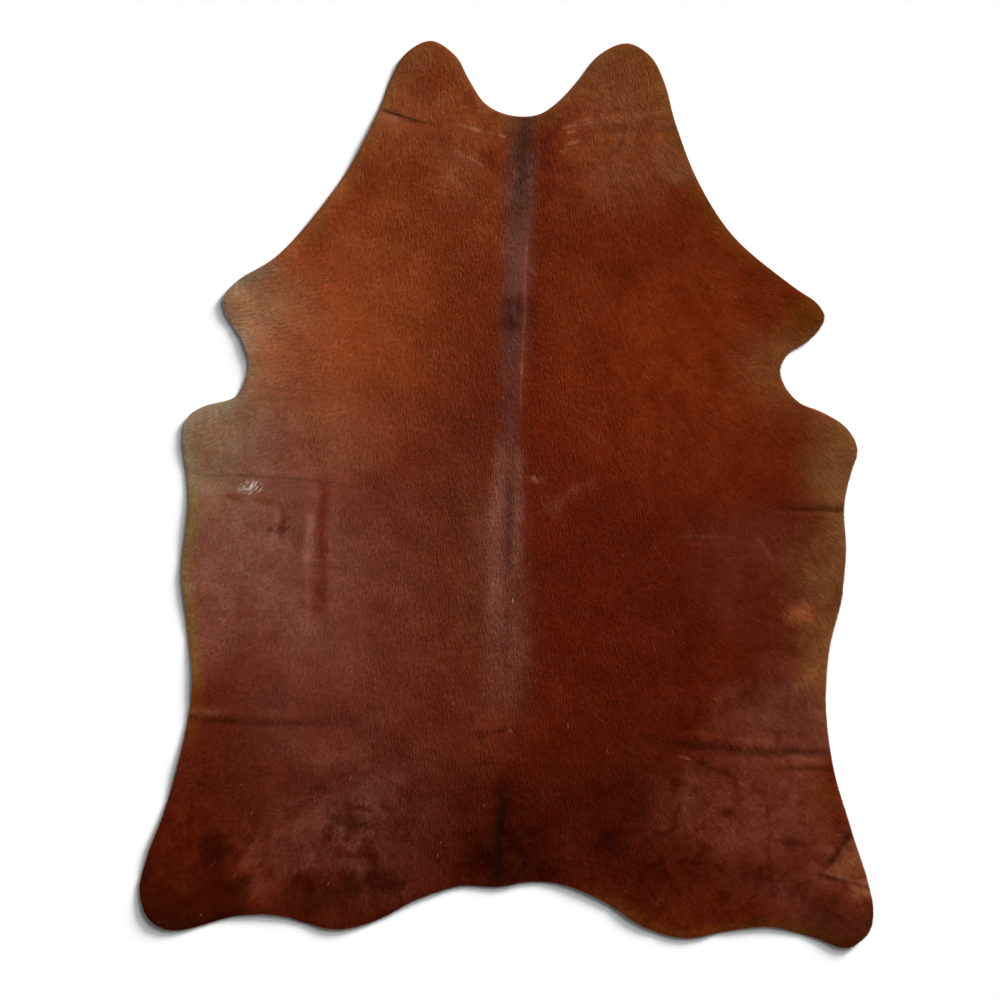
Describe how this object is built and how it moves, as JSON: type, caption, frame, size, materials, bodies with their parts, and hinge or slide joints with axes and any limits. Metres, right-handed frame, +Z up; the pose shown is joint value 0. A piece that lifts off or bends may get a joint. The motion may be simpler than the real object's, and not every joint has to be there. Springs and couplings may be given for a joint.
{
  "type": "cowhide rug",
  "caption": "Hair-on cowhide rug in dyed brown leather, one flat hide with neck flaps, leg lobes and a wavy rump edge, lying coat up with a few low packing folds.",
  "frame": {"origin": "on the floor, under the middle of the hide's length and width", "axes": "+Z up from the floor, +Y along the spine towards the neck, +X towards the right-hand flank seen from above"},
  "size_m": [1.78, 2.201, 0.0105],
  "materials": {
    "coat": "short dense cow hair on tanned leather, dyed red-brown, lying flat, half matt with a soft sheen"
  },
  "bodies": {
    "root": {"hide": "coat"}
  },
  "joints": []
}
